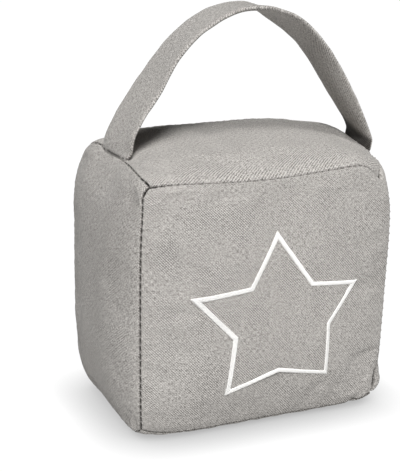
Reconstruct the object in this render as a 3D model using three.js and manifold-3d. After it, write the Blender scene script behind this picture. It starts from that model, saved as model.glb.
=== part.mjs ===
// Weighted fabric door stop: a stuffed, sewn block of grey twill, with a carrying strap
// caught in its two upper side seams and a star outline embroidered on its front panel.
// Millimetres, +Z up, front towards -Y, origin on the floor under the middle of the whole.

import * as THREE from "three";
import { mergeVertices } from "three/addons/utils/BufferGeometryUtils.js";
import Module from "manifold-3d";

// Sewn block, measured from seam to seam
const bagWidth = 149.5;
const bagDepth = 95;
const bagHeight = 150;
const footLift = 3; // the bottom seams stay this far above the floor

// How far the filling bulges each panel
const leftCrown = 8.5;
const rightCrown = 6.5;
const frontCrown = 9;
const backCrown = 9;
const topCrown = 1.5;
const baseCrown = 5; // the floor presses most of this one flat again
const leftSlump = 0.3; // share by which the left panel is fuller below than above

// Tight seams lie in a shallow valley between their two panels
const valleyDepth = 1;
const valleyWidth = 4;

// Carrying strap, a folded band of the same cloth
const strapWidth = 32;
const strapThickness = 3.2;
const strapRise = 78.5; // crown of the strap above its feet
const strapFullness = 2.1; // power of the arch: 2 is a parabola, more is squarer
const strapSetBack = 3.5; // middle of the strap behind the middle of the block
const strapCurl = 1; // its long edges curl away from the hand by this much
const footTwist = 3.5; // degrees by which the rear edge stands out at the feet
const crownTwist = -7; // and hangs lower at the crown
const leftFootOut = 1.5; // each leg stands out past its seam before it turns in
const rightFootOut = 1;
const rightFootUp = 6;
const rootDepth = 5; // length of strap that is held inside each seam
const fitGap = 0.3; // air between neighbouring pieces

// Embroidered star, a raised satin-stitch band along a hand-drawn outline
const bandWidth = 2.9;
const bandHeight = 1;
const starShift = 4; // star centre right of the panel's middle
const starDrop = 10.5; // star centre below the panel's middle
const starReach = 50; // centre to the tips

// Star corners from its centre, as shares of its reach: a tip and an inner corner in turn
const starCorners = [
  [-0.06, 0.98],
  [0.38, 0.37],
  [0.93, 0.3],
  [0.61, -0.14],
  [0.62, -0.75],
  [0.01, -0.61],
  [-0.6, -0.79],
  [-0.54, -0.14],
  [-1, 0.35],
  [-0.36, 0.41],
];

// Where the seams draw the block in from a true box: "at" names a corner by its three sides,
// or a seam by two sides and a 0 along its run, and "inward" is the pull along X, Y and Z.
// "upperShare" is how much more of a pull an upright seam feels at its upper end.
const seamPulls = [
  { at: [-1, -1, -1], inward: [2.5, 6.5, 4.5] },
  { at: [1, -1, -1], inward: [1.5, 1.5, 1.2] },
  { at: [-1, 1, -1], inward: [3, 4, 2.5] },
  { at: [1, 1, -1], inward: [0.5, 3, 2] },
  { at: [-1, -1, 1], inward: [5, 2, 5.5] },
  { at: [1, -1, 1], inward: [6, 2.5, 15] },
  { at: [-1, 1, 1], inward: [2.5, 3, 12] },
  { at: [1, 1, 1], inward: [0.5, 2.5, 13] },
  { at: [0, -1, -1], inward: [0, 1.5, 1] },
  { at: [0, -1, 1], inward: [0, -7, 5] },
  { at: [0, 1, 1], inward: [0, -3, 0] },
  { at: [-1, 0, -1], inward: [1.5, 0, -0.5] },
  { at: [-1, 0, 1], inward: [6, 0, -0.5] },
  { at: [1, 0, 1], inward: [-8, 0, 8.5] },
  { at: [-1, -1, 0], inward: [0, 1.5, 0] },
  { at: [-1, 1, 0], inward: [-2.5, -2, 0] },
  { at: [1, -1, 0], inward: [-1.5, 0.5, 0], upperShare: 1.8 },
];

// Facets
const widthSteps = 24;
const depthSteps = 16;
const heightSteps = 24;
const strapSteps = 44;
const strapRowPoints = 5;
const starSideSteps = 7;

const wasm = await Module();
wasm.setup();

const halfSize = [bagWidth / 2, bagDepth / 2, bagHeight / 2];
const crowns = [
  [leftCrown, rightCrown],
  [frontCrown, backCrown],
  [baseCrown, topCrown],
];

// Share of a pull that is felt at one place of the block: all at its corner, or along the
// middle of its seam, and soon nothing on the panels.
function pullShare(cube, at) {
  const panelReach = 5;
  return cube.reduce((share, value, axis) => {
    const along = 1 - value ** 2;
    const near = Math.max(at[axis] * value, 0) ** panelReach;
    return share * (at[axis] === 0 ? along : near);
  }, 1);
}

// How far a panel stands out at one of its places: its bulge, and its rise out of the nearest seam.
function panelRise(cube, axis) {
  const side = Math.sign(cube[axis]);
  const across = [(axis + 1) % 3, (axis + 2) % 3];
  const bulge = across.reduce((share, k) => share * (1 - Math.abs(cube[k]) ** 3), 1);
  const fromSeam = Math.min(...across.map((k) => (1 - Math.abs(cube[k])) * halfSize[k]));
  const lift = 1 - Math.exp(-((fromSeam / valleyWidth) ** 2));
  const slump = axis === 0 && side < 0 ? 1 - leftSlump * cube[2] : 1;
  return side * (crowns[axis][side < 0 ? 0 : 1] * slump * bulge + valleyDepth * lift);
}

// Point on the stuffed block for cube coordinates, each from -1 to 1 and one of them at an end.
function bagPoint(...cube) {
  const point = cube.map((value, axis) => value * halfSize[axis]);
  for (const { at, inward, upperShare = 0 } of seamPulls) {
    const share = pullShare(cube, at) * (1 + upperShare * cube[2]);
    for (let axis = 0; axis < 3; axis++) {
      point[axis] -= at[axis] * inward[axis] * share;
    }
  }
  for (let axis = 0; axis < 3; axis++) {
    if (Math.abs(cube[axis]) === 1) {
      point[axis] += panelRise(cube, axis);
    }
  }
  point[2] = Math.max(point[2] + halfSize[2] + footLift, 0);
  return new THREE.Vector3(...point);
}

// Point of the front panel at a given x and z.
function frontPoint(x, z) {
  const corrections = 12;
  let a = x / halfSize[0];
  let c = (z - footLift) / halfSize[2] - 1;
  let point = bagPoint(a, -1, c);
  for (let i = 0; i < corrections; i++) {
    a += (x - point.x) / halfSize[0];
    c += (z - point.z) / halfSize[2];
    point = bagPoint(a, -1, c);
  }
  return point;
}

// Closed geometry from a list of points and a list of triangles.
function closedGeometry(points, triangles) {
  const geometry = new THREE.BufferGeometry().setFromPoints(points);
  geometry.setIndex(triangles);
  return mergeVertices(geometry, 1e-4);
}

// Skin over a row of rings of points, closed by a fan at each end or by running round.
function skinOverRings(rings, runsRound) {
  const count = rings[0].length;
  const triangles = [];
  const spans = runsRound ? rings.length : rings.length - 1;
  for (let i = 0; i < spans; i++) {
    const here = i * count;
    const there = ((i + 1) % rings.length) * count;
    for (let k = 0; k < count; k++) {
      const next = (k + 1) % count;
      triangles.push(here + k, there + next, here + next);
      triangles.push(here + k, there + k, there + next);
    }
  }
  if (!runsRound) {
    const end = (rings.length - 1) * count;
    for (let k = 1; k < count - 1; k++) {
      triangles.push(0, k, k + 1);
      triangles.push(end, end + k + 1, end + k);
    }
  }
  return closedGeometry(rings.flat(), triangles);
}

// One panel of the block as a grid of quads, finest beside its seams.
function panelQuads(axis, side, points, triangles) {
  const steps = [widthSteps, depthSteps, heightSteps];
  const uAxis = (axis + 1) % 3;
  const vAxis = (axis + 2) % 3;
  const first = points.length;
  for (let i = 0; i <= steps[uAxis]; i++) {
    for (let j = 0; j <= steps[vAxis]; j++) {
      const cube = [side, side, side];
      cube[uAxis] = -Math.cos((Math.PI * i) / steps[uAxis]);
      cube[vAxis] = -Math.cos((Math.PI * j) / steps[vAxis]);
      points.push(bagPoint(...cube));
    }
  }
  const row = steps[vAxis] + 1;
  for (let i = 0; i < steps[uAxis]; i++) {
    for (let j = 0; j < steps[vAxis]; j++) {
      const quad = [0, row, row + 1, 1].map((offset) => first + i * row + j + offset);
      const [p, q, r, s] = side > 0 ? quad : quad.reverse();
      triangles.push(p, q, r, p, r, s);
    }
  }
}

// The whole stuffed block, before the strap's slots are cut.
function blockGeometry() {
  const points = [];
  const triangles = [];
  for (let axis = 0; axis < 3; axis++) {
    panelQuads(axis, -1, points, triangles);
    panelQuads(axis, 1, points, triangles);
  }
  return closedGeometry(points, triangles);
}

// Middle line of the strap, from inside the left seam over the crown to inside the right one.
function strapCurve() {
  const archPoints = 14;
  const inwardLean = 0.4;
  const seamPlace = strapSetBack / halfSize[1];
  const leftSeam = bagPoint(-1, seamPlace, 1).setY(strapSetBack);
  const rightSeam = bagPoint(1, seamPlace, 1).setY(strapSetBack);
  const leftFoot = leftSeam.clone().add(new THREE.Vector3(-leftFootOut, 0, 0));
  const rightFoot = rightSeam.clone().add(new THREE.Vector3(rightFootOut, 0, rightFootUp));
  const route = [];
  route.push(leftSeam.clone().add(new THREE.Vector3(inwardLean * rootDepth, 0, -rootDepth)));
  route.push(leftSeam);
  for (let i = 1; i <= archPoints; i++) {
    const along = i / archPoints;
    const point = leftFoot.clone().lerp(rightFoot, along);
    point.z += strapRise * (1 - Math.abs(2 * along - 1) ** strapFullness);
    route.push(point);
  }
  route.push(rightSeam);
  route.push(rightSeam.clone().add(new THREE.Vector3(-inwardLean * rootDepth, 0, -rootDepth)));
  return new THREE.CatmullRomCurve3(route, false, "centripetal");
}

// Flat section of the strap with round edges, as offsets across the width and outwards.
function strapSection(width, thickness) {
  const radius = thickness / 2;
  const flat = width / 2 - radius;
  const section = [];
  for (const side of [1, -1]) {
    for (let i = 0; i < strapRowPoints; i++) {
      section.push([side * flat * ((2 * i) / (strapRowPoints - 1) - 1), side * radius]);
    }
    for (const turn of [0.25, 0.5, 0.75]) {
      const angle = turn * Math.PI;
      section.push([side * (flat + radius * Math.sin(angle)), side * radius * Math.cos(angle)]);
    }
  }
  return section;
}

// The strap, grown on every side by an allowance.
function strapGeometry(allowance) {
  const curve = strapCurve();
  const section = strapSection(strapWidth + 2 * allowance, strapThickness + 2 * allowance);
  const rings = [];
  for (let i = 0; i <= strapSteps; i++) {
    const along = i / strapSteps;
    const middle = curve.getPointAt(along);
    const tangent = curve.getTangentAt(along);
    const outward = new THREE.Vector3(-tangent.z, 0, tangent.x);
    const endShift = i === 0 ? -allowance : i === strapSteps ? allowance : 0;
    middle.addScaledVector(tangent, endShift);
    const crownShare = 1 - (2 * along - 1) ** 2;
    const twist = THREE.MathUtils.lerp(footTwist, crownTwist, crownShare);
    const turn = THREE.MathUtils.degToRad(twist);
    const curl = strapCurl * Math.sin(Math.PI * along);
    rings.push(
      section.map(([across, out]) => {
        const share = (2 * across) / strapWidth;
        const rise = out - curl * (1 - share ** 2);
        const away = across * Math.sin(turn) + rise * Math.cos(turn);
        const point = middle.clone().addScaledVector(outward, away);
        point.y += across * Math.cos(turn) - rise * Math.sin(turn);
        return point;
      }),
    );
  }
  return skinOverRings(rings, false);
}

// Corner of the star's rail: the outline's corner moved sideways along its mitre.
function railCorner(corners, index, offset) {
  const count = corners.length;
  const here = corners[index];
  const into = here.clone().sub(corners[(index + count - 1) % count]).normalize();
  const away = corners[(index + 1) % count].clone().sub(here).normalize();
  const normalIn = new THREE.Vector2(-into.y, into.x);
  const normalOut = new THREE.Vector2(-away.y, away.x);
  const mitre = normalIn.clone().add(normalOut).normalize();
  return here.clone().addScaledVector(mitre, offset / mitre.dot(normalIn));
}

// The embroidered band: a low rounded ridge that follows the front panel.
function starGeometry() {
  const centre = new THREE.Vector2(starShift, footLift + halfSize[2] - starDrop);
  const corners = starCorners.map(([x, z]) => {
    return new THREE.Vector2(x, z).multiplyScalar(starReach).add(centre);
  });
  const ridge = [
    [-1, 0],
    [-1, 0.5],
    [-0.5, 0.9],
    [0, 1],
    [0.5, 0.9],
    [1, 0.5],
    [1, 0],
  ];
  const rings = [];
  for (let side = 0; side < corners.length; side++) {
    const following = (side + 1) % corners.length;
    const outer = [side, following].map((k) => railCorner(corners, k, bandWidth / 2));
    const inner = [side, following].map((k) => railCorner(corners, k, -bandWidth / 2));
    for (let step = 0; step < starSideSteps; step++) {
      const along = step / starSideSteps;
      const outerPoint = outer[0].clone().lerp(outer[1], along);
      const innerPoint = inner[0].clone().lerp(inner[1], along);
      rings.push(
        ridge.map(([across, height]) => {
          const place = innerPoint.clone().lerp(outerPoint, (across + 1) / 2);
          const point = frontPoint(place.x, place.y);
          point.y -= fitGap + height * bandHeight;
          return point;
        }),
      );
    }
  }
  return skinOverRings(rings, true);
}

// Solid for cutting, from a closed geometry.
function solidFrom(geometry) {
  const vertProperties = geometry.getAttribute("position").array;
  const triVerts = new Uint32Array(geometry.index.array);
  return new wasm.Manifold(new wasm.Mesh({ numProp: 3, vertProperties, triVerts }));
}

// Geometry back from a solid.
function geometryFrom(solid) {
  const mesh = solid.getMesh();
  const geometry = new THREE.BufferGeometry();
  geometry.setAttribute("position", new THREE.BufferAttribute(mesh.vertProperties, 3));
  geometry.setIndex(new THREE.BufferAttribute(mesh.triVerts, 1));
  return geometry;
}

// Named piece with its own material.
function piece(name, geometry, color, roughness) {
  geometry.computeVertexNormals();
  const material = new THREE.MeshStandardMaterial({ color, roughness, metalness: 0 });
  const mesh = new THREE.Mesh(geometry, material);
  mesh.name = name;
  return mesh;
}

// The block's seams open round each end of the strap, which stands in them with a small gap.
const slottedBlock = solidFrom(blockGeometry()).subtract(solidFrom(strapGeometry(fitGap)));

const doorStop = new THREE.Group();
doorStop.add(piece("bag_body", geometryFrom(slottedBlock), 0x9c9691, 0.95));
doorStop.add(piece("handle_strap", strapGeometry(0), 0xa19b95, 0.95));
doorStop.add(piece("star_embroidery", starGeometry(), 0xf4f2ee, 0.6));

const bounds = new THREE.Box3().setFromObject(doorStop);
const middle = bounds.getCenter(new THREE.Vector3());
doorStop.position.set(-middle.x, -middle.y, -bounds.min.z);

export default doorStop;
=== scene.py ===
# Weighted fabric door stop: stuffed twill block, carrying strap, embroidered star.
# Metres, the frame's own axes: front towards -Y, strap on top, floor at z = 0.
import bpy
import math
import numpy as np
from mathutils import Matrix, Vector


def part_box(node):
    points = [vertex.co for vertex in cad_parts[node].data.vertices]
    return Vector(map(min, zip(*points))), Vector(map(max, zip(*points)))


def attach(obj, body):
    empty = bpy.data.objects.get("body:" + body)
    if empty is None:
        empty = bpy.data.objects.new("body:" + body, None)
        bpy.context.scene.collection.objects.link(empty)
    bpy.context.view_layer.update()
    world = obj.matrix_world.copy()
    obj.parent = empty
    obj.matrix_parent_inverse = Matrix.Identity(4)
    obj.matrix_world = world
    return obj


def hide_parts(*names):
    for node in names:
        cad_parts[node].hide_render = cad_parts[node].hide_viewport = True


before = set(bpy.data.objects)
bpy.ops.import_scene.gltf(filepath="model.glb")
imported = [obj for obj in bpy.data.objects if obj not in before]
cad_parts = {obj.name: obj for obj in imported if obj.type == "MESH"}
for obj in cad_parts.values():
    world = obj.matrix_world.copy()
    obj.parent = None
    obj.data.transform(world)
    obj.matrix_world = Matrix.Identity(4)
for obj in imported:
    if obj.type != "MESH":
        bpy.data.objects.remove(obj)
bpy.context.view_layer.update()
mm = 0.001
rng = np.random.default_rng(7)

# the sewn block, seam to seam, as the solid model has it
bag = {
    "size": np.array([149.5, 95, 150]) * mm,
    "footLift": 3 * mm,
    "crowns": np.array([[8.5, 6.5], [9, 9], [5, 1.5]]) * mm,  # left right, front back, base top
    "leftSlump": 0.3,  # share by which the left panel is fuller below than above
    "panelReach": 5,
    "valleyDepth": 1 * mm,
    "valleyWidth": 4 * mm,
    "steps": [132, 88, 132],
    "edgeCrowding": 0.7,  # 0 spaces the grid evenly, 1 crowds it hard against the seams
    "topTurn": 16,  # degrees by which the top and base panels were cut off the ribs of the others
    "ribShifts": (0.4, 0.17),  # the cloth's pattern starts elsewhere on each axis and side
    "rippleShare": 0.4,  # how much of the settled cloth's ripples is kept
    "rippleLimit": 0.6 * mm,
    "rippleEdge": 6 * mm,  # they fade out this close to a seam
}

# corner and seam pulls: sides of the corner or seam (0 along its run), pull inwards along X Y Z in mm,
# and how much more of it an upright seam feels at its upper end
seamPulls = [
    ((-1, -1, -1), (2.5, 6.5, 4.5), 0),
    ((1, -1, -1), (1.5, 1.5, 1.2), 0),
    ((-1, 1, -1), (3, 4, 2.5), 0),
    ((1, 1, -1), (0.5, 3, 2), 0),
    ((-1, -1, 1), (5, 2, 5.5), 0),
    ((1, -1, 1), (6, 2.5, 15), 0),
    ((-1, 1, 1), (2.5, 3, 12), 0),
    ((1, 1, 1), (0.5, 2.5, 13), 0),
    ((0, -1, -1), (0, 1.5, 1), 0),
    ((0, -1, 1), (0, -7, 5), 0),
    ((0, 1, 1), (0, -3, 0), 0),
    ((-1, 0, -1), (1.5, 0, -0.5), 0),
    ((-1, 0, 1), (6, 0, -0.5), 0),
    ((1, 0, 1), (-8, 0, 8.5), 0),
    ((-1, -1, 0), (0, 1.5, 0), 0),
    ((-1, 1, 0), (-2.5, -2, 0), 0),
    ((1, -1, 0), (-1.5, 0.5, 0), 1.8),
]

# small shapes of the filling and the cloth: cube place, move and reach along X Y Z in mm
nudges = [
    ((1, -0.55, 1), (-4.2, 0, -0.8), (14, 13, 9)),  # shoulder drawn in at the right
    ((1, -0.2, 0.45), (2.5, 0, 0), (20, 30, 23)),  # fuller right side
    ((-1, 0.62, 1), (-0.4, 0, 1.6), (10, 12, 8)),  # left seam rises behind the strap
    ((-1, 0.8, 0.6), (-1.2, 0, 0), (14, 25, 18)),  # fuller left side above, slimmer near the floor
    ((-1, 0.4, -1), (2.2, 0, 0.8), (10, 30, 9)),  # base seam drawn in at the left
    ((0.78, -1, 1), (0, 0, 1.0), (12, 6, 6)),  # crest of the front seam before it drops to the corner
    ((1, -1, 1), (0.8, 0, -3.2), (6, 6, 6)),  # that corner hangs lower
    ((-1, -1, 0.93), (-1.6, 0.3, 0), (5, 5, 9)),  # upright seam starts with a jog
    ((-1, -0.97, 1), (1.6, -0.5, 0.6), (5, 5, 4)),
    ((-1, -0.55, 1), (0, 0, -0.8), (12, 9, 12)),  # side seam bows down between strap and corner
    ((-0.94, -0.2, 1), (0, 0, -1.5), (5, 9, 4)),  # top panel dips beside the strap's left foot
    ((-0.45, 0.7, 1), (0, 0, 1.4), (26, 22, 10)),  # and is fuller behind the strap
    ((0.97, 0.45, 1), (0, 0, 2.4), (7, 20, 10)),  # right seam rises behind the strap
    ((1, -0.86, -0.88), (3.6, -1.0, 0), (7, 7, 10)),  # side panel swells behind the lower right corner
    ((1, -1, -0.84), (-2.6, 1.0, 0), (5, 4, 9)),  # and the corner seam sinks before it
    ((1, -1, -1), (-2.2, 0, 2.6), (13, 6, 6)),  # rounded corner below
    ((0.79, -1, -1), (0.3, 1.1, 1.1), (2, 5, 3)),  # notch in the bottom seam
    ((0.88, -1, -1), (0.4, -1.2, -0.4), (4.5, 5, 4)),  # and the ear beside it
    ((-1, -0.88, -0.92), (1.3, 0, 0), (3, 2, 5)),  # puckers over the lower left corner
    ((-1, -0.8, -0.95), (-1.1, 0, 0), (3, 2.2, 4)),
    ((-1, -0.7, -0.92), (1.1, 0, 0), (3, 2.4, 4)),
    ((0.89, -1, -0.56), (0, 0.6, 0), (8, 3, 1.8)),  # crease low on the right of the front
]

# the sewn seams: groove between the panels, thread bars across it, gathers beside it, painted shade in the
# groove
seam = {
    "grooveDepth": 1.1 * mm,
    "grooveWidth": 0.55 * mm,
    "widthMore": 0.4,  # how much wider it gets where it opens further
    "stitchPitch": 4.5 * mm,
    "stitchWave": 0.35,  # share by which it closes at each stitch
    "gather": 0.16 * mm,  # small gathers at the stitches
    "gatherReach": 3.5 * mm,
    "pucker": 0.352 * mm,  # uneven ones that run further into the panel
    "puckerReach": 11.2 * mm,
    "puckerLengths": (7 * mm, 30 * mm),
    "flatEdge": 0.9 * mm,  # none right at the seam
    "threadRadius": 0.32 * mm,
    "threadHalfLength": 0.95 * mm,
    "threadSink": 0.9,  # place of the threads in the groove, 1 at its bottom
    "threadLean": 0.25,
    "threadBow": 0.6 * mm,
    "threadRings": 7,
    "threadAround": 8,
    "bareCorner": 6 * mm,  # no stitch this close to a corner
    "fullShade": 1.4,  # groove depths at which the painted shade in the groove is darkest
    "shadePower": 1.5,
    "plainGape": 0.6,
    "gape": {  # how far a seam gapes: axis, side, axis, side
        (0, -1, 1, -1): 1.1,
        (0, -1, 2, 1): 1.0,
        (1, -1, 2, 1): 0.8,
        (0, 1, 2, 1): 0.35,
        (0, 1, 1, -1): 0.2,
        (1, -1, 2, -1): 1.0,
    },
    "gapeMore": [  # where it opens further: cube place, extra, reach in mm
        ((-1, -1, 1), 0.9, 8),
        ((1, -1, 1), 2.6, 4),
        ((1, -1, -0.86), 3.8, 12),
        ((-1, -1, -1), 0.5, 12),
    ],
}


def note(text):
    print("door stop:", text)


def addMesh(name, points, faces, smooth=True):
    mesh = bpy.data.meshes.new(name)
    faces = faces if isinstance(faces, list) else faces.tolist()
    mesh.from_pydata(np.asarray(points, float).reshape(-1, 3).tolist(), [], faces)
    mesh.polygons.foreach_set("use_smooth", [smooth] * len(mesh.polygons))
    mesh.update()
    piece = bpy.data.objects.new(name, mesh)
    bpy.context.scene.collection.objects.link(piece)
    return piece


def addPointValue(piece, name, values):
    attribute = piece.data.attributes.new(name, "FLOAT", "POINT")
    attribute.data.foreach_set("value", np.asarray(values, np.float32).ravel())


def addCornerUv(piece, uvOfCorner):
    layer = piece.data.uv_layers.new(name="cloth")
    layer.data.foreach_set("uv", np.asarray(uvOfCorner, np.float32).ravel())


# quads of a grid of points, row by row: each point, the next row's, the one beside that, the one beside it
def gridQuads(rows, columns, closedRows=False, closedColumns=False):
    i = np.arange(rows if closedRows else rows - 1)
    j = np.arange(columns if closedColumns else columns - 1)
    i, j = np.meshgrid(i, j, indexing="ij")
    nextI = (i + 1) % rows
    nextJ = (j + 1) % columns
    corners = [i * columns + j, nextI * columns + j, nextI * columns + nextJ, i * columns + nextJ]
    return np.stack(corners, -1).reshape(-1, 4)


# faces of a row of like threads: rings of points joined to tubes, a strip of quads over each end
def threadFaces(count, rings, around):
    strip = np.array([(k, k + 1, around - 2 - k, around - 1 - k) for k in range(around // 2 - 1)])
    tube = gridQuads(rings, around, closedColumns=True)
    one = np.concatenate([tube, strip, strip[:, ::-1] + (rings - 1) * around])
    return (one[None] + (np.arange(count) * rings * around)[:, None, None]).reshape(-1, 4)


# share of a pull: (side x coordinate, cut at 0) to the fifth power on each named side,
# 1 - t squared along a seam
def pullShare(cube, at):
    share = np.ones(cube.shape[:-1])
    for axis in range(3):
        value = cube[..., axis]
        if at[axis] == 0:
            share = share * (1 - value ** 2)
        else:
            share = share * np.clip(at[axis] * value, 0, None) ** bag["panelReach"]
    return share


# distance of a panel's points from its nearest seam
def seamDistance(cube, axis):
    half = bag["size"] / 2
    across = [(axis + 1) % 3, (axis + 2) % 3]
    return np.min([(1 - np.abs(cube[..., k])) * half[k] for k in across], axis=0)


# stuffed block: box point minus every pull, plus bell-shaped nudges, plus crown (1 - |u|^3)(1 - |v|^3)
# and the rise out of the seam, which is a bell curve of the distance turned over
def blockPoints(cube, axis, side, nudged=True):
    half = bag["size"] / 2
    points = cube * half
    for at, inward, upperShare in seamPulls:
        share = pullShare(cube, at) * (1 + upperShare * cube[..., 2])
        points = points - share[..., None] * np.array(at) * np.array(inward) * mm
    for place, move, reach in nudges if nudged else []:
        away = (cube - np.array(place)) * half / (np.array(reach) * mm)
        points = points + np.exp(-(away ** 2).sum(-1))[..., None] * np.array(move) * mm
    across = [(axis + 1) % 3, (axis + 2) % 3]
    bulge = np.prod([1 - np.abs(cube[..., k]) ** 3 for k in across], axis=0)
    lift = 1 - np.exp(-((seamDistance(cube, axis) / bag["valleyWidth"]) ** 2))
    crown = bag["crowns"][axis][0 if side < 0 else 1]
    if axis == 0 and side < 0:
        crown = crown * (1 - bag["leftSlump"] * cube[..., 2])
    points[..., axis] += side * (crown * bulge + bag["valleyDepth"] * lift)
    points[..., 2] = np.clip(points[..., 2] + half[2] + bag["footLift"], 0, None)
    return points


# cube coordinate of evenly numbered steps: part straight, part sine, so that steps crowd at the seams
def spread(count, crowding):
    t = np.linspace(-1, 1, count + 1)
    c = (1 - crowding) * t + crowding * np.sin(math.pi * t / 2)
    c[0], c[-1] = -1, 1
    return c


def panelCube(axis, side, steps, crowding):
    uAxis, vAxis = (axis + 1) % 3, (axis + 2) % 3
    u, v = np.meshgrid(spread(steps[uAxis], crowding), spread(steps[vAxis], crowding), indexing="ij")
    cube = np.full(u.shape + (3,), float(side))
    cube[..., uAxis] = u
    cube[..., vAxis] = v
    return cube


panels = [(axis, side) for axis in range(3) for side in (-1, 1)]


def gapeOf(axisA, sideA, axisB, sideB):
    if axisA > axisB:
        axisA, sideA, axisB, sideB = axisB, sideB, axisA, sideA
    return seam["gape"].get((axisA, sideA, axisB, sideB), seam["plainGape"])


# groove: every axis moves in by depth x nearness to its own side x the strongest nearness of another side,
# nearness being a bell curve of the distance; a cosine along the seam makes it gape between stitches
def seamGroove(cube):
    half = bag["size"] / 2
    side = np.sign(cube)
    distance = (1 - np.abs(cube)) * half
    more = np.zeros(cube.shape[:-1])
    for place, extra, reach in seam["gapeMore"]:
        away = (cube - np.array(place)) * half / (reach * mm)
        more += extra * np.exp(-(away ** 2).sum(-1))
    width = seam["grooveWidth"] * (1 + seam["widthMore"] * more[..., None])
    near = np.exp(-((distance / width) ** 2))
    move = np.zeros(cube.shape)
    for k in range(3):
        strongest = np.zeros(cube.shape[:-1])
        for j in range(3):
            if j == k:
                continue
            along = 3 - k - j
            gape = np.zeros(cube.shape[:-1])
            for sideK in (-1, 1):
                for sideJ in (-1, 1):
                    here = (side[..., k] == sideK) & (side[..., j] == sideJ)
                    gape = np.where(here, gapeOf(k, sideK, j, sideJ) + more, gape)
            turns = cube[..., along] * half[along] / seam["stitchPitch"]
            wave = 1 - seam["stitchWave"] * np.cos(2 * math.pi * turns)
            wave = wave * (1 - near[..., along]) + near[..., along]
            strongest = np.maximum(strongest, near[..., j] * gape * wave)
        move[..., k] = -side[..., k] * seam["grooveDepth"] * near[..., k] * strongest
    return move


# a smooth wander along a line: a few sines of different length and seeded phase
def wander(position, shortest, longest, seed, count=5):
    dice = np.random.default_rng(seed)
    lengths = np.geomspace(shortest, longest, count)
    phases = dice.uniform(0, 2 * math.pi, count)
    weights = dice.uniform(0.6, 1, count)
    waves = [w * np.sin(2 * math.pi * position / run + p) for w, run, p in zip(weights, lengths, phases)]
    return np.sum(waves, axis=0) / count


# gathers beside the seams: a cosine with the stitches and a wander, each dying off with the distance
def panelGathers(cube, axis, side):
    half = bag["size"] / 2
    height = np.zeros(cube.shape[:-1])
    for k in ((axis + 1) % 3, (axis + 2) % 3):
        along = 3 - axis - k
        position = cube[..., along] * half[along]
        distance = (1 - np.abs(cube[..., k])) * half[k]
        starts = 1 - np.exp(-((distance / seam["flatEdge"]) ** 2))
        seed = 10 * axis + 3 * k + (5 if side > 0 else 0)
        high, low = (wander(position, *seam["puckerLengths"], seed + more) for more in (0, 50))
        uneven = np.where(cube[..., k] > 0, high, low)
        puckers = seam["pucker"] * uneven * np.exp(-distance / seam["puckerReach"])
        stitches = np.cos(2 * math.pi * position / seam["stitchPitch"])
        gathers = seam["gather"] * stitches * np.exp(-distance / seam["gatherReach"])
        height += starts * (gathers + puckers)
    return height


# weights that carry a coarse row of values to a fine one by cubic steps
def cubicCarry(coarse, fine):
    place = np.linspace(0, coarse, fine + 1)
    weights = np.zeros((fine + 1, coarse + 1))
    base = np.clip(np.floor(place).astype(int), 0, coarse - 1)
    t = place - base
    shares = [
        (-t + 2 * t ** 2 - t ** 3) / 2,
        (2 - 5 * t ** 2 + 3 * t ** 3) / 2,
        (t + 4 * t ** 2 - 3 * t ** 3) / 2,
        (-t ** 2 + t ** 3) / 2,
    ]
    for k, share in enumerate(shares):
        column = np.clip(base + k - 1, 0, coarse)
        np.add.at(weights, (np.arange(fine + 1), column), share)
    return weights


# panels meet in one point at their seams: the kept cube points, where each is first met, index of all
def joinPanels(flatCube):
    keys, first, index = np.unique(np.round(flatCube, 6), axis=0, return_index=True, return_inverse=True)
    return keys, first, index.ravel()


# the cloth that settles over the filling
settling = {
    "steps": [36, 24, 36],
    "frames": 24,
    "quality": 6,
    "mass": 0.25,
    "stretch": 12,
    "shear": 6,
    "bending": 0.35,
    "pressure": 4,
    "excess": 0.035,  # share by which the cloth is cut larger than the filling
    "smoothings": 60,
}


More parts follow.
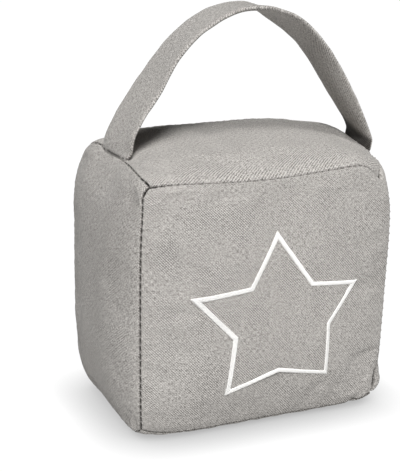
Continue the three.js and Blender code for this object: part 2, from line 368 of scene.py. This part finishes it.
# cloth over the filling: the coarse block, pinned at its seams, blown a little and left to wrinkle;
# what counts is how far each panel moved outwards, less the broad part of it
def clothWrinkles():
    steps = settling["steps"]
    cubes = [panelCube(axis, side, steps, bag["edgeCrowding"]) for axis, side in panels]
    points = [blockPoints(cube, axis, side) for cube, (axis, side) in zip(cubes, panels)]
    flatPoints = np.concatenate([p.reshape(-1, 3) for p in points])
    keys, first, index = joinPanels(np.concatenate([cube.reshape(-1, 3) for cube in cubes]))
    faces = []
    start = 0
    for cube, (axis, side) in zip(cubes, panels):
        quads = gridQuads(cube.shape[0], cube.shape[1])[:, ::side]
        faces.append(index[start + quads])
        start += cube.shape[0] * cube.shape[1]
    block = addMesh("settling_block", flatPoints[first], np.concatenate(faces))
    atSeam = (np.abs(keys) == 1).sum(1) >= 2
    onFloor = flatPoints[first][:, 2] < 0.2 * mm
    pins = block.vertex_groups.new(name="pins")
    pins.add(np.nonzero(atSeam | onFloor)[0].tolist(), 1.0, "REPLACE")
    cloth = block.modifiers.new("cloth", "CLOTH")
    cloth.settings.quality = settling["quality"]
    cloth.settings.mass = settling["mass"]
    cloth.settings.tension_stiffness = settling["stretch"]
    cloth.settings.compression_stiffness = settling["stretch"]
    cloth.settings.shear_stiffness = settling["shear"]
    cloth.settings.bending_stiffness = settling["bending"]
    cloth.settings.use_pressure = True
    cloth.settings.uniform_pressure_force = settling["pressure"]
    cloth.settings.shrink_min = -settling["excess"]
    cloth.settings.vertex_group_mass = "pins"
    cloth.settings.effector_weights.gravity = 0
    cloth.collision_settings.use_collision = False
    cloth.point_cache.frame_end = settling["frames"]
    for number in range(1, settling["frames"] + 1):
        bpy.context.scene.frame_set(number)
    shaped = block.evaluated_get(bpy.context.evaluated_depsgraph_get()).to_mesh()
    settled = np.zeros(len(keys) * 3)
    shaped.vertices.foreach_get("co", settled)
    moved = settled.reshape(-1, 3) - flatPoints[first]
    bpy.context.scene.frame_set(1)
    bpy.data.objects.remove(block, do_unlink=True)
    heights = {}
    start = 0
    for cube, (axis, side) in zip(cubes, panels):
        count = cube.shape[0] * cube.shape[1]
        outwards = moved[index[start:start + count], axis].reshape(cube.shape[:2]) * side
        start += count
        rows = cubicCarry(steps[(axis + 1) % 3], bag["steps"][(axis + 1) % 3])
        columns = cubicCarry(steps[(axis + 2) % 3], bag["steps"][(axis + 2) % 3])
        ripples = outwards - smoothed(outwards, settling["smoothings"])
        heights[axis, side] = rows @ ripples @ columns.T
        note("panel %d %+d ripples %.2f mm" % (axis, side, np.abs(ripples).max() / mm))
    return heights


# broad part of a panel's swelling, from repeated neighbour means
def smoothed(values, rounds):
    result = values.copy()
    for _ in range(rounds):
        padded = np.pad(result, 1, mode="edge")
        result = (padded[:-2, 1:-1] + padded[2:, 1:-1] + padded[1:-1, :-2] + padded[1:-1, 2:]) / 4
    return result


# world place of the block: its own middle is set on the middle of the solid's box
def blockShift():
    low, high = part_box("bag_body")
    ends = []
    for axis, side in panels:
        points = blockPoints(panelCube(axis, side, settling["steps"], 1), axis, side, False).reshape(-1, 3)
        ends += [points.min(0), points.max(0)]
    own = (np.min(ends, 0) + np.max(ends, 0)) / 2
    middle = (np.array(low) + np.array(high)) / 2
    return np.array([middle[0] - own[0], middle[1] - own[1], 0])


shift = blockShift()
note("block shift %s mm" % np.round(shift / mm, 3))


# one panel at full fineness: the block, plus gathers and ripples outwards, less the seam grooves
def finePanel(axis, side, ripples):
    cube = panelCube(axis, side, bag["steps"], bag["edgeCrowding"])
    points = blockPoints(cube, axis, side)
    height = panelGathers(cube, axis, side)
    if ripples is not None:
        kept = np.clip(bag["rippleShare"] * ripples[axis, side], -bag["rippleLimit"], bag["rippleLimit"])
        height = height + kept * (1 - np.exp(-((seamDistance(cube, axis) / bag["rippleEdge"]) ** 2)))
    points[..., axis] += side * height
    points = points + seamGroove(cube)
    points[..., 2] = np.clip(points[..., 2], 0, None)
    return cube, points + shift


def makeBlock(ripples):
    cubes, allPoints, faces, uvs = [], [], [], []
    start = 0
    half = bag["size"] / 2
    turn = math.radians(bag["topTurn"])
    byAxis, bySide = bag["ribShifts"]
    for axis, side in panels:
        cube, points = finePanel(axis, side, ripples)
        quads = gridQuads(cube.shape[0], cube.shape[1])[:, ::side]
        flat = cube.reshape(-1, 3)
        across = [k for k in range(3) if k != axis]
        uv = flat[:, across] * half[across] + byAxis * (axis + 1) + bySide * side
        if axis == 1:
            uv[:, 0] *= -1  # the ribs of front and back lean the other way
        if axis == 2:
            uv = uv @ np.array([[math.cos(turn), math.sin(turn)], [-math.sin(turn), math.cos(turn)]])
        uvs.append(uv[quads])
        faces.append(quads + start)
        cubes.append(flat)
        allPoints.append(points.reshape(-1, 3))
        start += len(flat)
    keys, first, index = joinPanels(np.concatenate(cubes))
    piece = addMesh("bag_cloth", np.concatenate(allPoints)[first], index[np.concatenate(faces)])
    addCornerUv(piece, np.concatenate(uvs))
    # painted shade in the seam grooves: the deeper the groove, the darker the cloth
    depth = np.linalg.norm(seamGroove(keys), axis=1) / seam["grooveDepth"]
    addPointValue(piece, "paintedShade", np.clip(depth / seam["fullShade"], 0, 1) ** seam["shadePower"])
    return piece


# carrying strap: an arch in X and Z, a flat round-edged section, and small bends of its own
strap = {
    "width": 32 * mm,
    "thickness": 3.2 * mm,
    "rise": 78.5 * mm,
    "fullness": 2.1,
    "setBack": 3.5 * mm,
    "sidePower": 0.32,  # of the section: the smaller, the squarer its edge
    "facePower": 0.75,
    "curl": 1 * mm,  # the long edges turn away from the hand
    "legCurl": 3.4 * mm,  # and more so half-way down the right leg
    "legCurlAt": (0.82, 0.13),  # share of the strap's length, and how far it reaches
    "footTwist": 3.5,  # degrees by which the rear edge stands out at the feet, and at the crown
    "crownTwist": -7,
    "wave": 0.2 * mm,
    "waveLengths": (14 * mm, 70 * mm),
    "edgeWave": 0.3 * mm,
    "edgeWaveLengths": (11 * mm, 45 * mm),
    "leftFootOut": 1.5 * mm,
    "rightFootOut": 1 * mm,
    "rightFootUp": 6 * mm,
    "rootDepth": 4 * mm,
    "rootLean": 1.6 * mm,
    "rootPinch": 3.4 * mm,  # by which the front edge draws back at the left root
    "pinchReach": 8 * mm,
    "shadeRow": 4.4 * mm,  # painted shade in dashes where each end goes into its seam, this far from each end
    "shadeRowWidth": 0.6 * mm,
    "shadeRowPitch": 4 * mm,
    "footShadowReach": 21 * mm,  # painted shade inside the right foot, longer at the rear edge
    "footShadowSlant": 9 * mm,
    "archSteps": 60,
    "smoothings": 10,
    "steps": 440,
    "around": 72,
}

# bends of the strap: share of its length, front -1 or rear 1 edge, outward move,
# reach along and across in mm
strapBends = [
    (0.035, -1, -1.9, 5, 9),
    (0.12, -1, 0.8, 10, 9),
    (0.18, -1, -2.1, 16, 10),
    (0.4, -1, -1.1, 20, 11),
    (0.53, -1, -0.5, 14, 11),
    (0.62, -1, 0.8, 20, 11),
    (0.08, 1, 0.9, 14, 11),
    (0.15, 1, 0.4, 20, 11),
    (0.525, 1, 1.0, 12, 9),
    (0.575, 1, -1.2, 10, 9),
    (0.63, 1, -1.1, 14, 10),
    (0.92, 1, 1.3, 14, 10),
]


# arch in X and Z: straight line between the feet plus rise x (1 - |t|^fullness), and a short run
# down into each seam; returned as even steps, a little smoothed, with its length
def strapLine():
    place = strap["setBack"] / (bag["size"][1] / 2)
    left, right = (blockPoints(np.array([side, place, 1.0]), 2, 1, False)[[0, 2]] for side in (-1, 1))
    leftFoot = left - [strap["leftFootOut"], 0]
    rightFoot = right + [strap["rightFootOut"], strap["rightFootUp"]]
    along = np.linspace(0, 1, strap["archSteps"])[1:, None]
    arch = leftFoot + (rightFoot - leftFoot) * along
    arch[:, 1] += strap["rise"] * (1 - np.abs(2 * along[:, 0] - 1) ** strap["fullness"])
    rootLeft = left + [strap["rootLean"], -strap["rootDepth"]]
    rootRight = right + [-strap["rootLean"], -strap["rootDepth"]]
    line = np.vstack([rootLeft, left, arch, right, rootRight])
    length = np.concatenate([[0], np.cumsum(np.linalg.norm(np.diff(line, axis=0), axis=1))])
    even = np.linspace(0, length[-1], strap["steps"] + 1)
    line = np.stack([np.interp(even, length, line[:, k]) for k in (0, 1)], 1)
    for _ in range(strap["smoothings"]):
        line[1:-1] = (line[:-2] + 2 * line[1:-1] + line[2:]) / 4
    return line, length[-1]


# section point at a turn: power of the cosine across, of the sine outwards: a flat band, round edges
def strapSection(turn):
    across = np.cos(2 * math.pi * turn)
    out = np.sin(2 * math.pi * turn)
    sideways = np.sign(across) * np.abs(across) ** strap["sidePower"]
    outward = np.sign(out) * np.abs(out) ** strap["facePower"]
    return sideways * strap["width"] / 2, outward * strap["thickness"] / 2


# strap: line + outward x (section turned by the twist, less the curl, plus bends) + Y x section across
def makeStrap():
    line, length = strapLine()
    steps, around = len(line), strap["around"]
    across, outward = strapSection(-np.arange(around) / around)
    s = np.linspace(0, 1, steps)
    run = (s * length)[:, None]
    toFoot = ((1 - s) * length)[:, None]
    tangent = np.gradient(line, axis=0)
    tangent /= np.linalg.norm(tangent, axis=1)[:, None]
    normal = np.stack([-tangent[:, 1], tangent[:, 0]], 1)
    share = 2 * across / strap["width"]
    crownShare = 1 - (2 * s - 1) ** 2
    twist = strap["footTwist"] + (strap["crownTwist"] - strap["footTwist"]) * crownShare
    twist = np.radians(twist)[:, None]
    place, reach = strap["legCurlAt"]
    curl = strap["curl"] * np.sin(math.pi * s) + strap["legCurl"] * np.exp(-(((s - place) / reach) ** 2))
    rise = outward - curl[:, None] * (1 - share ** 2)
    rise = rise + strap["wave"] * wander(run, *strap["waveLengths"], 3)
    rise = rise + strap["edgeWave"] * wander(run, *strap["edgeWaveLengths"], 4) * share ** 3
    for place, side, move, reachAlong, reachAcross in strapBends:
        alongBell = np.exp(-(((s - place) * length / (reachAlong * mm)) ** 2))[:, None]
        acrossBell = np.exp(-(((share - side) * strap["width"] / 2 / (reachAcross * mm)) ** 2))
        rise = rise + move * mm * alongBell * acrossBell
    out = across * np.sin(twist) + rise * np.cos(twist)
    drawn = np.exp(-((run / strap["pinchReach"]) ** 2)) * np.clip(-share, 0, 1) ** 2
    points = np.zeros((steps, around, 3))
    points[..., 0] = line[:, :1] + normal[:, :1] * out
    points[..., 1] = strap["setBack"] + across * np.cos(twist) - rise * np.sin(twist)
    points[..., 1] += strap["rootPinch"] * drawn
    points[..., 2] = line[:, 1:] + normal[:, 1:] * out
    ends = [np.arange(around), steps * around - 1 - np.arange(around)]
    faces = gridQuads(steps, around, closedColumns=True).tolist() + [end.tolist() for end in ends]
    piece = addMesh("strap_cloth", points + shift, faces)
    corners = np.zeros(len(piece.data.loops), int)
    piece.data.loops.foreach_get("vertex_index", corners)
    uv = np.stack(np.broadcast_arrays(across, run), -1).reshape(-1, 2)
    addCornerUv(piece, uv[corners])
    # painted shade in dashes along the line where each end of the strap enters its seam
    row = np.exp(-(((np.minimum(run, toFoot) - strap["shadeRow"]) / strap["shadeRowWidth"]) ** 2))
    stitches = np.clip(0.5 + 0.9 * np.cos(2 * math.pi * across / strap["shadeRowPitch"]), 0, 1)
    # painted shade on the inner face at the foot of the right leg, darkest at the rear
    footShadow = np.exp(-((toFoot / (strap["footShadowReach"] + strap["footShadowSlant"] * share)) ** 8))
    footShadow = footShadow * (outward < -0.01 * mm)
    addPointValue(piece, "paintedShade", np.maximum(row * stitches, footShadow))
    return piece


# the star: a band of threads laid side by side over a padded ridge
star = {
    "reach": 50 * mm,
    "shift": 4 * mm,  # its centre right of the panel's middle, and below it
    "drop": 10.5 * mm,
    "bandHeight": 0.75 * mm,
    "gap": 0.1 * mm,
    "threadPitch": 0.42 * mm,
    "threadRadius": 0.56,  # in pitches, so that neighbours lie close
    "threadFlat": 0.8,
    "threadSlant": 0.35,
    "threadRings": 9,
    "threadAround": 6,
    "unevenPitch": 0.12,
    "unevenLength": 0.05,
    "unevenHeight": 0.06,
    "ridgeSteps": 14,
    # ridge from one rail to the other and back below: place across, and height in band heights
    "ridgeAcross": [-0.94, -0.8, -0.4, 0, 0.4, 0.8, 0.94, 0.5, 0, -0.5],
    "ridgeHeight": [0, 0.5, 0.72, 0.78, 0.72, 0.5, 0, -0.1, -0.1, -0.1],
    # corners as shares of its reach, a tip and an inner corner in turn, and the band's width after each
    "corners": [
        (-0.06, 0.98), (0.38, 0.37), (0.93, 0.3), (0.61, -0.14), (0.62, -0.75),
        (0.01, -0.61), (-0.6, -0.79), (-0.54, -0.14), (-1, 0.35), (-0.36, 0.41),
    ],
    "sideWidths": np.array([2.9, 2.7, 2.5, 2.4, 2.5, 2.6, 3.3, 3.3, 3.1, 2.9]) * mm,
}


# front panel at given x and z: its cube coordinates are corrected until the point lands there
def frontPoints(x, z):
    half = bag["size"] / 2
    a = x / half[0]
    c = (z - bag["footLift"]) / half[2] - 1
    for _ in range(12):
        cube = np.stack([a, np.full_like(a, -1), c], -1)
        points = blockPoints(cube, 1, -1)
        a = a + (x - points[..., 0]) / half[0]
        c = c + (z - points[..., 2]) / half[2]
    return points


# edges of the band: each corner moved half the band's width both ways along its mitre
def starRails():
    centre = np.array([star["shift"], bag["footLift"] + bag["size"][2] / 2 - star["drop"]])
    corners = np.array(star["corners"]) * star["reach"] + centre
    nextCorner = np.roll(corners, -1, axis=0)
    run = nextCorner - corners
    run /= np.linalg.norm(run, axis=1)[:, None]
    sideNormal = np.stack([-run[:, 1], run[:, 0]], 1)
    lastNormal = np.roll(sideNormal, 1, axis=0)
    mitre = sideNormal + lastNormal
    mitre /= np.linalg.norm(mitre, axis=1)[:, None]
    stretch = 1 / (mitre * sideNormal).sum(1)
    atCorner = (star["sideWidths"] + np.roll(star["sideWidths"], 1)) / 2
    offset = mitre * (stretch * atCorner / 2)[:, None]
    return corners + offset, corners - offset


# thread: a bridge from rail to rail, its height 0.15 + 0.85 sqrt(1 - t^4) of the band's,
# with an oval ring round it that tapers to its ends
def makeStar():
    outer, inner = starRails()
    rings, around = star["threadRings"], star["threadAround"]
    pitch = star["threadPitch"]
    angle = 2 * math.pi * np.arange(around) / around
    t = np.linspace(-1, 1, rings)
    bridge = star["bandHeight"] * (0.15 + 0.85 * (1 - t ** 4) ** 0.5)
    taper = np.sqrt(np.clip(1 - 0.6 * np.abs(t) ** 6, 0, 1))
    ridge = np.array(star["ridgeAcross"])
    ridgeHeight = np.array(star["ridgeHeight"]) * star["bandHeight"]
    uneven = {key: star[key] for key in ("unevenPitch", "unevenLength", "unevenHeight")}
    points, faces, padding = [], [], []
    start = 0
    for side in range(len(outer)):
        following = (side + 1) % len(outer)
        outerRun = outer[following] - outer[side]
        innerRun = inner[following] - inner[side]
        length = np.linalg.norm((outerRun + innerRun) / 2)
        count = int(round(length / pitch))
        jitter = {}
        for key, reach in uneven.items():
            jitter[key] = rng.uniform(-reach, reach, (count, 1))
        place = (np.arange(count)[:, None] + 0.5 + jitter["unevenPitch"]) / count
        slant = star["threadSlant"] * pitch * outerRun / length
        a = outer[side] + outerRun * place + slant
        b = inner[side] + innerRun * place - slant
        reach = (a - b) / 2 * (1 + jitter["unevenLength"])
        line = ((a + b) / 2)[:, None] + reach[:, None] * t[None, :, None]
        surface = frontPoints(line[..., 0], line[..., 1])
        surface[..., 1] -= star["gap"] + bridge * (1 + jitter["unevenHeight"])
        run = outerRun / length
        ring = np.array([run[0], 0, run[1]]) * np.cos(angle)[:, None]
        ring = ring - np.array([0, star["threadFlat"], 0]) * np.sin(angle)[:, None]
        ring = ring * star["threadRadius"] * pitch
        tubes = surface[:, :, None] + ring * taper[:, None, None]
        points.append(tubes.reshape(-1, 3))
        faces.append(threadFaces(count, rings, around) + start)
        start += count * rings * around
        place = (np.arange(star["ridgeSteps"]) / star["ridgeSteps"])[:, None]
        a = outer[side] + outerRun * place
        b = inner[side] + innerRun * place
        line = ((a + b) / 2)[:, None] + ((a - b) / 2)[:, None] * ridge[None, :, None]
        surface = frontPoints(line[..., 0], line[..., 1])
        surface[..., 1] -= ridgeHeight + star["gap"]
        padding.append(surface)
    band = np.concatenate(padding)
    points.append(band.reshape(-1, 3))
    faces.append(gridQuads(band.shape[0], band.shape[1], closedRows=True, closedColumns=True) + start)
    return addMesh("star_satin_stitch", np.concatenate(points) + shift, np.concatenate(faces))


# seams that get threads: the two panel axes and sides that meet there, all but those round the base
def stitchedSeams():
    for k, j in ((0, 1), (0, 2), (1, 2)):
        for sideK in (-1, 1):
            for sideJ in (-1, 1):
                if (j, sideJ) != (2, -1):
                    yield k, j, sideK, sideJ


# thread bars across the seam grooves, one at each stitch: a line across the seam that leans along it
# and bows down at both ends, with a round ring that tapers to the ends
def makeSeamThreads():
    half = bag["size"] / 2
    rings, around = seam["threadRings"], seam["threadAround"]
    t = np.linspace(-1, 1, rings)
    angle = 2 * math.pi * np.arange(around) / around
    taper = seam["threadRadius"] * np.sqrt(np.clip(1 - 0.7 * np.abs(t) ** 4, 0, 1))
    points, faces = [], []
    start = 0
    for k, j, sideK, sideJ in stitchedSeams():
        along = 3 - k - j
        most = int((half[along] - seam["bareCorner"]) / seam["stitchPitch"])
        cube = np.zeros((2 * most + 1, 3))
        cube[:, k] = sideK
        cube[:, j] = sideJ
        cube[:, along] = np.arange(-most, most + 1) * seam["stitchPitch"] / half[along]
        middle = blockPoints(cube, k, sideK) + seam["threadSink"] * seamGroove(cube)
        step = np.zeros(3)
        step[along] = 0.004
        ahead = blockPoints(cube + step, k, sideK) - blockPoints(cube - step, k, sideK)
        ahead /= np.linalg.norm(ahead, axis=1)[:, None]
        outwards = np.zeros(3)
        outwards[[k, j]] = sideK, sideJ
        outwards /= np.linalg.norm(outwards)
        across = np.cross(ahead, outwards)
        across /= np.linalg.norm(across, axis=1)[:, None]
        lean = across + seam["threadLean"] * ahead
        line = middle[:, None] + lean[:, None] * (t * seam["threadHalfLength"])[:, None]
        line = line - outwards * (seam["threadBow"] * t ** 2)[:, None]
        ring = ahead[:, None] * np.cos(angle)[:, None] - outwards * np.sin(angle)[:, None]
        tubes = line[:, :, None] + ring[:, None] * taper[:, None, None]
        points.append(tubes.reshape(-1, 3))
        faces.append(threadFaces(len(cube), rings, around) + start)
        start += len(cube) * rings * around
    return addMesh("seam_threads", np.concatenate(points) + shift, np.concatenate(faces))


# node tree of a material or the world, filled node by node: inputs are values or other nodes' outputs
class Nodes:
    def __init__(self, owner):
        owner.use_nodes = True
        self.owner = owner
        self.tree = owner.node_tree
        self.tree.nodes.clear()

    def add(self, kind, inputs=None, **settings):
        node = self.tree.nodes.new(kind)
        for key, value in settings.items():
            setattr(node, key, value)
        for key, value in (inputs or {}).items():
            if isinstance(value, bpy.types.NodeSocket):
                self.tree.links.new(value, node.inputs[key])
            else:
                node.inputs[key].default_value = value
        return node

    def calculate(self, operation, *values):
        return self.add("ShaderNodeMath", dict(enumerate(values)), operation=operation).outputs[0]

    def span(self, value, before, after=(0, 1)):
        limits = {"From Min": before[0], "From Max": before[1], "To Min": after[0], "To Max": after[1]}
        return self.add("ShaderNodeMapRange", {"Value": value, **limits}).outputs["Result"]

    # sockets 0, 6 and 7 of a Mix node are the share and the two colours
    def blend(self, share, first, second, way="MIX"):
        inputs = {0: share, 6: first, 7: second}
        return self.add("ShaderNodeMix", inputs, data_type="RGBA", blend_type=way).outputs[2]

    def noise(self, place, scale, detail):
        inputs = {"Vector": place, "Scale": scale, "Detail": detail}
        return self.add("ShaderNodeTexNoise", inputs).outputs["Fac"]

    # noise of different fineness along the cloth's two directions
    def grain(self, cloth, fineness, detail):
        stretched = self.add("ShaderNodeMapping", {"Vector": cloth, "Scale": fineness + (1,)})
        return self.noise(stretched.outputs["Vector"], 1, detail)

    def finish(self, shader, kind="ShaderNodeOutputMaterial"):
        self.add(kind, {"Surface": shader.outputs[0]})
        return self.owner


# the cloth: bands of ribs and of the yarns that cross them, over streaks along weft and warp
twill = {
    "ribPitch": 1.05 * mm,
    "ribAngle": 42,
    "pickPitch": 1.2 * mm,  # the crossing yarns that break each rib into dots
    "pickAngle": -50,
    "ribWander": {"Distortion": 1.6, "Detail": 2, "Detail Scale": 1.4, "Detail Roughness": 0.6},
    "ribShares": (0.12, 0.44),  # the ribs sink in some places and stand out in others
    "patchFineness": 55,
    "yarnFineness": (1900, 520),
    "yarnShare": 0.9,
    "slubFineness": (120, 40),
    "slubShare": 0.1,
    "toneRange": (0.68, 1.2),  # sums of these that are as dark and as light as the cloth gets
    "dark": (0.17, 0.16, 0.149, 1),
    "light": (0.6, 0.575, 0.545),
    # colour of the painted shade in the seam grooves and at the strap's feet
    "paintedShadeTone": (0.11, 0.103, 0.097, 1),
    "bumpHeight": 0.2 * mm,
    "bumpStrength": 0.7,
}


def twillMaterial(name, lighten):
    n = Nodes(bpy.data.materials.new(name))
    cloth = n.add("ShaderNodeUVMap", uv_map="cloth").outputs["UV"]
    waves = []
    for pitch, angle in (("ribPitch", "ribAngle"), ("pickPitch", "pickAngle")):
        turned = n.add("ShaderNodeMapping", {"Vector": cloth, "Rotation": (0, 0, math.radians(twill[angle]))})
        inputs = {"Vector": turned.outputs["Vector"], "Scale": 2 * math.pi / (20 * twill[pitch])}
        inputs.update(twill["ribWander"])
        wave = n.add("ShaderNodeTexWave", inputs, wave_type="BANDS", bands_direction="X", wave_profile="SIN")
        waves.append(wave.outputs["Fac"])
    ribs = n.calculate("MULTIPLY", waves[0], n.calculate("ADD", waves[1], 0.5))
    ribShare = n.span(n.noise(cloth, twill["patchFineness"], 2), (0.4, 0.6), twill["ribShares"])
    ribPart = n.calculate("MULTIPLY", n.calculate("SUBTRACT", ribs, 0.5), ribShare)
    warp = n.grain(cloth, twill["yarnFineness"], 2)
    weft = n.grain(cloth, twill["yarnFineness"][::-1], 2)
    slub = n.grain(cloth, twill["slubFineness"], 3)
    yarn = n.calculate("ADD", warp, weft)
    tone = n.calculate("MULTIPLY_ADD", yarn, twill["yarnShare"], ribPart)
    tone = n.calculate("MULTIPLY_ADD", slub, twill["slubShare"], tone)
    light = tuple(part * lighten for part in twill["light"]) + (1,)
    colour = n.blend(n.span(tone, twill["toneRange"]), twill["dark"], light)
    # painted shade from the point attribute, multiplied into the cloth's colour
    shade = n.add("ShaderNodeAttribute", attribute_name="paintedShade").outputs["Fac"]
    bump = n.add("ShaderNodeBump", {
        "Strength": twill["bumpStrength"],
        "Distance": twill["bumpHeight"],
        "Height": n.calculate("MULTIPLY_ADD", ribPart, 1.5, yarn),
    })
    return n.finish(n.add("ShaderNodeBsdfPrincipled", {
        "Base Color": n.blend(shade, colour, twill["paintedShadeTone"], "MULTIPLY"),
        "Roughness": 0.95,
        "Specular IOR Level": 0.15,
        "Sheen Weight": 0.08,
        "Sheen Roughness": 0.6,
        "Normal": bump.outputs["Normal"],
    }))


# thread: one colour, a little uneven from fibre to fibre
def threadMaterial(name, colour, roughness):
    n = Nodes(bpy.data.materials.new(name))
    fibre = n.noise(n.add("ShaderNodeTexCoord").outputs["Object"], 2600, 3)
    tint = n.span(fibre, (0.3, 0.7), (0.9, 1))
    bump = n.add("ShaderNodeBump", {"Strength": 0.3, "Distance": 0.05 * mm, "Height": fibre})
    return n.finish(n.add("ShaderNodeBsdfPrincipled", {
        "Base Color": n.blend(1, colour, tint, "MULTIPLY"),
        "Roughness": roughness,
        "Specular IOR Level": 0.35,
        "Sheen Weight": 0.1,
        "Normal": bump.outputs["Normal"],
    }))


def dress(piece, material, slotName, *nodes):
    piece.data.materials.append(material)
    if nodes:
        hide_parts(*nodes)
    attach(piece, "root")


# camera where the photograph was taken from
camera = {
    "azimuth": -24.392,
    "elevation": 18.684,
    "roll": 0.819,
    "distance": 0.88487,
    "target": (-0.019103, 0, 0.100854),
    "lens": 118.85,
}


def placeCamera():
    az, el, roll = (math.radians(camera[k]) for k in ("azimuth", "elevation", "roll"))
    back = np.array([math.sin(az) * math.cos(el), -math.cos(az) * math.cos(el), math.sin(el)])
    level = np.array([math.cos(az), math.sin(az), 0])
    up = np.cross(back, level)
    right = math.cos(roll) * level + math.sin(roll) * up
    up = -math.sin(roll) * level + math.cos(roll) * up
    eye = np.array(camera["target"]) + shift + back * camera["distance"]
    lens = bpy.data.cameras.new("photo_camera")
    lens.lens = camera["lens"]
    lens.sensor_width = 36
    lens.clip_start = 0.05
    lens.clip_end = 50
    holder = bpy.data.objects.new("photo_camera", lens)
    turn = Matrix((right.tolist(), up.tolist(), back.tolist())).transposed()
    holder.matrix_world = Matrix.Translation(Vector(eye.tolist())) @ turn.to_4x4()
    bpy.context.scene.collection.objects.link(holder)
    bpy.context.scene.camera = holder


lights = {
    "world": 0.02,
    "suns": {  # azimuth and elevation of the place it shines from, spread of its disc, strength
        "key": (-25, 46, 14, 3.05),
        "top": (5, 68, 14, 1.5),
        "back": (180, 2, 10, 0.5),
    },
}


def placeLights():
    world = bpy.data.worlds.new("studio")
    bpy.context.scene.world = world
    n = Nodes(world)
    path = n.add("ShaderNodeLightPath").outputs
    seen = n.calculate("MAXIMUM", path["Is Camera Ray"], path["Is Transmission Ray"])
    soft = n.add("ShaderNodeBackground", {"Color": (1, 1, 1, 1), "Strength": lights["world"]})
    white = n.add("ShaderNodeBackground", {"Color": (1, 1, 1, 1), "Strength": 1})
    both = n.add("ShaderNodeMixShader", {0: seen, 1: soft.outputs[0], 2: white.outputs[0]})
    n.finish(both, "ShaderNodeOutputWorld")
    for name, (azimuth, elevation, spread, strength) in lights["suns"].items():
        data = bpy.data.lights.new(name, "SUN")
        data.angle = math.radians(spread)
        data.energy = strength
        holder = bpy.data.objects.new(name, data)
        az, el = math.radians(azimuth), math.radians(elevation)
        place = Vector((math.sin(az) * math.cos(el), -math.cos(az) * math.cos(el), math.sin(el)))
        turn = place.to_track_quat("Z", "Y").to_matrix()
        holder.matrix_world = Matrix.Translation(place) @ turn.to_4x4()
        bpy.context.scene.collection.objects.link(holder)


# white floor: the camera sees its glow, with a painted contact shadow that darkens it softly where the block
# stands close over it
stage = {
    "reach": 4,
    "bounce": 0.6,
    "contactReach": 24 * mm,
    "contactTone": 0.42,  # what is left of the white right at the cloth, in the painted contact shadow
    "castShadow": 0.02,
}


def makeFloor():
    reach = stage["reach"]
    corners = [(-reach, -reach, 0), (reach, -reach, 0), (reach, reach, 0), (-reach, reach, 0)]
    floor = addMesh("floor", corners, [(0, 1, 2, 3)], False)
    n = Nodes(bpy.data.materials.new("studio_floor"))
    matt = n.add("ShaderNodeBsdfDiffuse", {"Color": (stage["bounce"],) * 3 + (1,)})
    faint = n.add("ShaderNodeBsdfDiffuse", {"Color": (stage["castShadow"],) * 3 + (1,)})
    # painted contact shadow: the glow is darkened by ambient occlusion near the block
    near = n.add("ShaderNodeAmbientOcclusion", {"Distance": stage["contactReach"]}, samples=16)
    contactShadow = n.span(near.outputs["AO"], (0, 1), (stage["contactTone"], 1))
    glow = n.add("ShaderNodeEmission", {"Color": (1, 1, 1, 1), "Strength": contactShadow})
    seen = n.add("ShaderNodeAddShader", {0: faint.outputs[0], 1: glow.outputs[0]})
    cameraRay = n.add("ShaderNodeLightPath").outputs["Is Camera Ray"]
    both = n.add("ShaderNodeMixShader", {0: cameraRay, 1: matt.outputs[0], 2: seen.outputs[0]})
    floor.data.materials.append(n.finish(both))


bpy.context.scene.view_settings.view_transform = "Standard"
placeCamera()
placeLights()
makeFloor()
note("stage set")

wrinkles = clothWrinkles()
bagCloth = makeBlock(wrinkles)
dress(bagCloth, twillMaterial("block_twill", 1.0), "grey_twill", "bag_body")
note("block covered")

strapCloth = makeStrap()
dress(strapCloth, twillMaterial("band_twill", 0.98), "strap_twill", "handle_strap")
note("strap made")

starThreads = makeStar()
rayon = threadMaterial("white_rayon", (0.93, 0.92, 0.9, 1), 0.5)
dress(starThreads, rayon, "white_thread", "star_embroidery")
note("star stitched")

seamThreads = makeSeamThreads()
cotton = threadMaterial("grey_cotton", (0.33, 0.315, 0.3, 1), 0.8)
dress(seamThreads, cotton, "grey_twill")
note("seams stitched")
